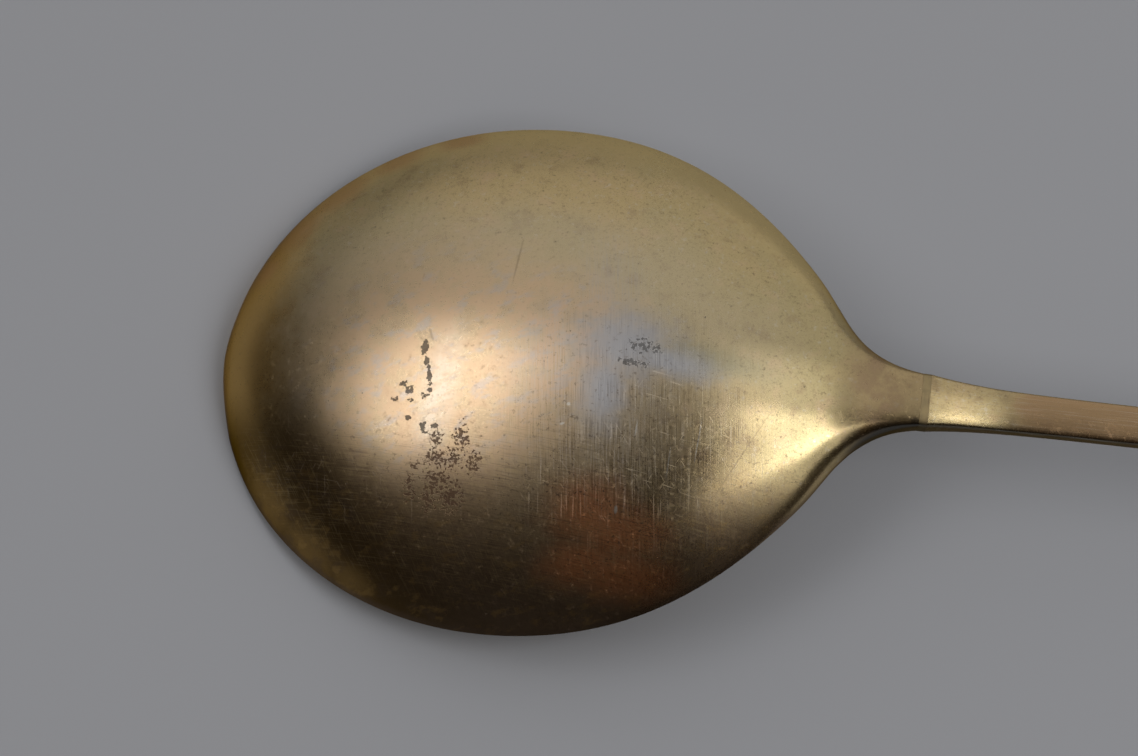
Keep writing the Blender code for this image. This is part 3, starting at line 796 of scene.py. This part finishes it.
def bowlTone(bench, mm, look, zone, tone, patches):  # broad colour of the bowl's back, laid in zones, with painted shade on its near half and rim
    back, deep, across, rise, rag, low = (zone[key] for key in ("back", "deep", "across", "rise", "rag", "low"))
    smear = bench.noise(bench.stretch(mm, (1.6, 0.8, 1.0), 25), 1.0, 4.0, 0.6)
    tone("pale", "pale", bench.step(rise + zone["drift"] * 2.5, 3.0, 6.8))
    tone("honey", "honey", bench.step(rise, 2.8, 0.6) * bench.step(deep + rag, 3, 9))
    worn = patches("worn", 0.35, 0.5) * back
    lay(bench, look, worn * between(bowlTones["peach"], bench.step(look["patch"], 0.36, 0.58)), "peach")
    lay(bench, look, worn * bench.step(smear, 0.50, 0.68) * bowlTones["ash"], "ash")
    lay(bench, look, patches("bright", 0.5, 0.8) * bench.step(smear, 0.62, 0.44) * bowlTones["bright"], "nick")

    # painted reflection: a dark ring round the tip where the dark horizon is mirrored, strongest on the near
    # side
    around = bench.vector("LENGTH", bench.stretch(mm, (17, 17, 1000), 0, (-86, 0, 0)), output=1) + rag * 0.05
    ring = bench.step(around, 0.82, 0.98) * bench.step(around, 1.12, 1.02) * bench.step(across, -92, -99)
    # painted shade over the near, lower half of the back
    tone("low", "brown", low)
    # painted shade along the near rim
    tone("edge", "umber", bench.step(deep + rag * 2, -11.5, -17.5))
    lay(bench, look, ring * between(bowlTones["ring"], bench.step(deep, 2, -6)) * back, "umber")
    tone("tip", "rich", bench.step(across + rag * 2, -101.5, -105.5))
    # painted shade on the near side of the tip
    tone("corner", "bronze", bench.step(across + deep * 0.9 + rag, -101, -110) * bench.step(deep, -2, -7))
    tone("amber", "rich", patches("amber", 0.6, 0.8))
    tone("copper", "copper", patches("copper", 0.6, 0.7))
    tone("moss", "moss", patches("moss", 0.5, 0.8))
    tone("shade", "umber", patches("shade", 0.4, 0.8))
    tone("dusk", "brown", patches("dusk", 0.5, 0.8))
    # blotches of umber and warm gold within the painted shade of the near, lower half
    tone("lowBlotch", "umber", low * bench.step(look["patch"], 0.50, 0.64))
    tone("lowRich", "rich", low * bench.step(smear, 0.52, 0.68))
    # painted reflection: warm orange patches on the lower back
    tone("ember", "ember", patches("ember", 0.6, 0.85))
    # painted shade along the rim of the near half
    tone("rim", "umber", bench.step(rise, 0.5, 0.15) * bench.step(deep, 2, -4))


def markBowl(bench, mm, look):
    across, deep = bench.parts(mm)[:2]
    side, facing = bench.lean()
    back = bench.step(facing, -0.05, 0.05)
    shift = 1000 * (bowlMake["tipWear"] * pitchCos + tipX * pitchSin)
    rise = bench.vector("DOT_PRODUCT", mm, (-pitchSin, 0, pitchCos), output=1) + shift  # height over the rim
    patch, fleck = look["patch"], look["fleck"]
    drift = (look["cloud"] - 0.5) * 2.0
    rag = (patch - 0.5) * 1.5 + (fleck - 0.5) * 0.8
    fine = bench.noise(mm, 3.4, 4.0, 0.68)
    crumb = (fine - 0.5) * 3.4
    # the near, lower half of the back, which is darkened with painted shade
    low = bench.step(deep + drift * 5 + rag * 2, -3.5, -13.5)

    def tone(name, colour, mask):
        lay(bench, look, mask * bowlTones[name] * back, colour)

    def patches(name, ragged, soft):
        return bench.spots(mm, bowlMarks[name], rag * ragged, soft)

    bowlTone(bench, mm, look, {
        "back": back, "deep": deep, "across": across, "rise": rise, "rag": rag, "drift": drift, "low": low,
    }, tone, patches)

    # silver showing through, with its brushed halo
    upright, slant, level = (bench.hair(mm, *bowlHairs[name]) for name in ("upright", "slant", "level"))
    middle = patches("middle", 0.4, 0.7)
    near = bench.step(deep + drift * 3, -3, -9) * bench.step(rise, 0.6, 3.0)
    silver = patches("silver", 0.6, 0.85)
    fade = patches("silverFade", 0.6, 0.9) * between(bowlTones["halo"], bench.step(upright, 0.42, 0.60))
    silver = (silver * bowlTones["silver"] | fade * bowlTones["fade"]) * back
    lay(bench, look, silver, "silver")

    # brushed hairs and short scratches
    tone("uprightPale", "nick", bench.step(upright, 0.55, 0.70) * middle)
    tone("uprightDark", "umber", bench.step(upright, 0.46, 0.34) * middle)
    tone("slantGold", "gold", bench.step(slant, 0.54, 0.68) * near)
    tone("levelGold", "gold", bench.step(level, 0.54, 0.68) * near)
    tone("levelDark", "umber", bench.step(level, 0.46, 0.32) * near)
    lines = bench.scratch(mm, *bowlStrokes[0])
    for stroke in bowlStrokes[1:]:
        lines = lines | bench.scratch(mm, *stroke)
    lines = lines * between(bowlTones["stroke"], middle | near * bench.step(deep, -14, -8)) * back
    nicks = bench.spots(mm, bowlMarks["nicks"], crumb * 0.2, 0.4) * back
    lay(bench, look, lines * bowlTones["line"] | nicks * bowlTones["nick"], "nick")

    # pits, tarnish and small marks
    speck = bench.step(fine, 0.58, 0.67)
    dense = bowlTones["speck"] + bowlTones["speckNear"] * near + bowlTones["speckMiddle"] * middle
    lay(bench, look, speck * dense * back, "umber")
    pits, dots, scars, streak = (
        bench.crumble(mm, bowlMarks[name], crumb * ragged, scale, cover) * back
        for name, (ragged, scale, cover) in bowlCrumbs.items())
    thinMarks = bowlMarks["tick"] + bowlMarks["mark"] + bowlMarks["score"]
    thin = bench.spots(mm, thinMarks, crumb * 0.35, 0.6) * back
    lay(bench, look, pits * bowlTones["pit"], "plum")
    lay(bench, look, dots * bowlTones["scar"] | scars * bowlTones["scar"] | streak * bowlTones["scar"], "sootAndShade")
    lay(bench, look, thin * bowlTones["thin"], "umber")
    tone("stain", "rich", patches("stain", 0.3, 0.5))

    # the neck: browner on top, with painted shade on its near flank and underneath
    neck = bench.step(across, -64.5, -61.5)
    lay(bench, look, neck * between(bowlTones["neck"], bench.step(patch, 0.42, 0.62)) * back, "brown")
    lay(bench, look, neck * bench.paintedShade(side, facing) * bowlTones["paintedShade"], "sootAndShade")
    # painted shade on the bowl's near flank beside the neck
    tone("wall", "sootAndShade", bench.step(across, -78, -69) * bench.step(side, -0.62, -0.86))
    tone("notch", "sootAndShade", patches("notch", 0.3, 0.4))

    wear = bowlWear
    hollows = pits | dots | scars | streak
    polish = wear["polish"] * bench.step(across, -80, -74) * back
    look["rough"] = look["rough"] - polish + wear["hollowRough"] * hollows + wear["lineRough"] * lines
    look["rough"] = look["rough"] + wear["lowRough"] * low + wear["silverRough"] * silver
    look["rough"] = look["rough"] + wear["hairRough"] * (upright - 0.5) * middle
    hairs = wear["hairHeight"] * upright * middle + wear["hairHeight"] * level * near
    look["height"] = look["height"] + hairs - wear["hollowDeep"] * hollows - wear["lineDeep"] * lines


stemTones = {"copper": 0.70, "brown": 0.45, "under": 0.55, "paintedShade": 0.88, "drawnPale": 0.22, "drawnDark": 0.30}


def markStem(bench, mm, look):  # drawn lines along the bar, coppery on its back, with painted shade below and on its near flank
    across = bench.parts(mm)[0]
    rag = (look["patch"] - 0.5) * 1.5
    side, facing = bench.lean()
    drawn = bench.noise(bench.stretch(mm, (4.0, 0.06, 0.06)), 1.0, 2.0)
    upper = bench.step(across + rag * 3, -53, -49) * bench.step(facing, 0.55, 0.92)
    lay(bench, look, upper * stemTones["copper"], "copper")
    lay(bench, look, upper * stemTones["brown"], "brown")
    # painted shade on the bar's lower side
    lay(bench, look, bench.step(facing, 0.35, -0.2) * stemTones["under"], "brown")
    lay(bench, look, bench.paintedShade(side, facing) * stemTones["paintedShade"], "sootAndShade")
    lay(bench, look, bench.step(drawn, 0.56, 0.70) * stemTones["drawnPale"], "nick")
    lay(bench, look, bench.step(drawn, 0.44, 0.30) * stemTones["drawnDark"], "brown")
    look["rough"] = look["rough"] - 0.06 + 0.12 * (drawn - 0.5)
    look["height"] = look["height"] + 1.0 * drawn


turnedTones = {"cove": 0.75, "rubbed": 0.55, "edge": 0.45, "scuff": 0.45, "turned": 0.22}


def markTurned(bench, mm, look):  # knop and disc: dark in the coves, rubbed pale where hands and cups touch
    fromAxis = bench.vector("SUBTRACT", mm, (0, 0, axisHeight * 1000))
    reach = bench.vector("LENGTH", bench.vector("MULTIPLY", fromAxis, (0, 1, 1)), output=1)
    across = bench.parts(mm)[0]
    rag = (look["patch"] - 0.5) * 1.2
    shaft = bench.step(across, 103.6, 103.2)
    lay(bench, look, bench.step(reach + rag, 2.35, 1.8) * shaft * turnedTones["cove"], "umber")
    lay(bench, look, bench.step(reach + rag, 3.2, 3.7) * turnedTones["rubbed"], "pale")
    lay(bench, look, bench.step(reach + rag, 8.6, 9.4) * turnedTones["edge"], "silver")
    turned = bench.noise(bench.vector("MULTIPLY", mm, (14, 0.4, 0.4)), 1.0, 2.0)
    face = bench.step(across, 107.7, 107.95)
    lines = bench.noise(bench.stretch(mm, (1000, 0.5, 6)), 1.0, 1.0)
    lay(bench, look, bench.step(abs(lines - 0.5), 0.02, 0.005) * face * turnedTones["scuff"], "nick")
    lay(bench, look, bench.step(turned, 0.55, 0.70) * turnedTones["turned"], "brown")
    look["rough"] = look["rough"] + 0.10 * (turned - 0.5) + 0.08 * face
    look["height"] = look["height"] + 0.8 * turned


solderMake = {
    "filed": paint(0.44, 0.335, 0.175), "dull": paint(0.37, 0.285, 0.155),
    "fileMarks": 0.4, "paintedShade": 0.85, "rough": 0.36, "fileRough": 0.2, "fileHeight": 1.5,
}


def solderFinish():  # filed silver, a little tarnished, with painted shade on its near flank and underside
    material, bench, mm = startFinish("filed_solder")
    filed = bench.noise(bench.stretch(mm, (0.05, 1.2, 1.2)), 1.0, 2.0)
    cloud = bench.noise(mm, 1.8, 3.0)
    side, facing = bench.lean()
    colour = bench.mix(bench.step(cloud, 0.35, 0.65), solderMake["filed"], solderMake["dull"])
    colour = bench.mix(bench.step(filed, 0.42, 0.28) * solderMake["fileMarks"], colour, giltColour["umber"])
    colour = bench.mix(bench.paintedShade(side, facing) * solderMake["paintedShade"], colour, giltColour["sootAndShade"])
    rough = solderMake["rough"] + solderMake["fileRough"] * (filed - 0.5)
    endFinish(bench, colour, rough, filed * solderMake["fileHeight"])
    return material


turnedGilt = giltFinish("turned_gilt", markTurned)
solder = solderFinish()
for piece, finish in (
    (bowl, giltFinish("bowl_gilt", markBowl)), (stem, giltFinish("stem_gilt", markStem)),
    (knop, turnedGilt), (disc, turnedGilt), (neckSeam, solder), (knopSeam, solder), (discSeam, solder),
):
    piece.data.materials.clear()
    piece.data.materials.append(finish)
print("finishes mixed")


# Floor, lights and camera

stageMake = {
    "floorRadius": 3.0, "floorSides": 96, "floorColour": paint(0.446, 0.453, 0.480), "floorRough": 0.9,
    "aim": (-0.083, 0, 0.008),
}
lampMake = {  # way to the lamp, distance, size, the way its second side points, brightness
    "key_softbox": {
        "way": (-0.56, 0.0, 0.83), "far": 0.55,
        "size": (0.222, 0.39), "tall": (0.35, 1, 0), "glow": 1.70},
    "window_light": {
        "way": (0.572, -0.18, 0.79), "far": 0.60,
        "size": (0.26, 0.335), "tall": (0.18, -0.93, -0.32), "glow": 3.2},
    "lower_pane": {
        "way": (0.55, -0.56, 0.62), "far": 0.60,
        "size": (0.32, 0.10), "tall": (0.50, 0.81, 0.29), "glow": 0.88},
}
skyMake = {  # pale behind and above, dark in front, with one soft glow
    "dark": paint(0.022, 0.017, 0.013), "pale": paint(1.0, 1.0, 1.0),
    "behind": (-0.40, 0.60), "left": (-1.08, -0.36), "above": (0.1, 0.6), "lift": (0.425, 0.045),
    "glow": 0.80, "glowAcross": (0.12, 0.33), "glowUp": (0.58, 0.88),
    "glowNear": (-0.05, 0.20), "glowFar": (0.55, 0.20),
}
cameraMake = {
    "turn": math.radians(6.561), "lift": math.radians(74.932), "far": 0.33,
    "aim": (0.025, 0, 0.0077), "slide": 0.000257, "drop": 0.000449,  # from the bowl's tip
    "sensor": 36, "lens": 146.47, "nearest": 0.01,
}


def areaLight(name, lamp):
    startObject()
    way = Vector(lamp["way"]).normalized()
    across = Vector(lamp["tall"]).cross(way).normalized()
    turn = Matrix((across, way.cross(across), way)).transposed()
    place = Vector(stageMake["aim"]) + way * lamp["far"]
    bpy.ops.object.light_add(type="AREA", location=place, rotation=turn.to_euler())
    light = bpy.context.active_object
    light.name = name
    light.data.shape = "RECTANGLE"
    light.data.size, light.data.size_y = lamp["size"]
    light.data.energy = lamp["glow"] * math.pi * lamp["size"][0] * lamp["size"][1]


def makeFloor():
    startObject()
    bpy.ops.mesh.primitive_circle_add(
        vertices=stageMake["floorSides"], radius=stageMake["floorRadius"], fill_type="NGON")
    floor = nameIt("floor")
    material = bpy.data.materials.new("pale_floor")
    material.use_nodes = True
    bench = Bench(material.node_tree)
    shader = bench.add("ShaderNodeBsdfPrincipled", {}, {
        "Base Color": stageMake["floorColour"], "Roughness": stageMake["floorRough"]})
    bench.add("ShaderNodeOutputMaterial", {}, {"Surface": shader})
    floor.data.materials.append(material)


def makeWorld():
    world = bpy.data.worlds.new("studio")
    bpy.context.scene.world = world
    world.use_nodes = True
    bench = Bench(world.node_tree)
    way = bench.add("ShaderNodeTexCoord", {}, {}, 0)
    across, deep, up = bench.parts(way)
    start, end = skyMake["behind"]
    back = bench.add("ShaderNodeMapRange", {}, {0: deep, 1: start, 2: end})
    left = bench.step(across, *skyMake["left"])
    lift = between(skyMake["lift"], bench.step(up, *skyMake["above"]))
    glow = bench.step(across, *skyMake["glowAcross"]) * bench.step(up, *skyMake["glowUp"])
    glow = glow * bench.step(deep, *skyMake["glowNear"]) * bench.step(deep, *skyMake["glowFar"])
    colour = bench.mix(back * left * lift + skyMake["glow"] * glow, skyMake["dark"], skyMake["pale"])
    sky = bench.add("ShaderNodeBackground", {}, {"Color": colour, "Strength": 1.0})
    bench.add("ShaderNodeOutputWorld", {}, {"Surface": sky})


def makeCamera():
    turn, lift = cameraMake["turn"], cameraMake["lift"]
    back = Vector((math.sin(turn) * math.cos(lift), -math.cos(turn) * math.cos(lift), math.sin(lift)))
    right = Vector((math.cos(turn), math.sin(turn), 0))
    ahead, aside, above = cameraMake["aim"]
    target = Vector((tipX + ahead, aside, above))
    target = target + right * cameraMake["slide"] - back.cross(right) * cameraMake["drop"]
    startObject()
    place = target + back * cameraMake["far"]
    bpy.ops.object.camera_add(location=place, rotation=back.to_track_quat("Z", "Y").to_euler())
    camera = bpy.context.active_object
    camera.data.sensor_fit = "HORIZONTAL"
    camera.data.sensor_width = cameraMake["sensor"]
    camera.data.lens = cameraMake["lens"]
    camera.data.clip_start = cameraMake["nearest"]
    bpy.context.scene.camera = camera


makeFloor()
for name, lamp in lampMake.items():
    areaLight(name, lamp)
makeWorld()
makeCamera()
bpy.context.scene.view_settings.view_transform = "Standard"
print("stage set")
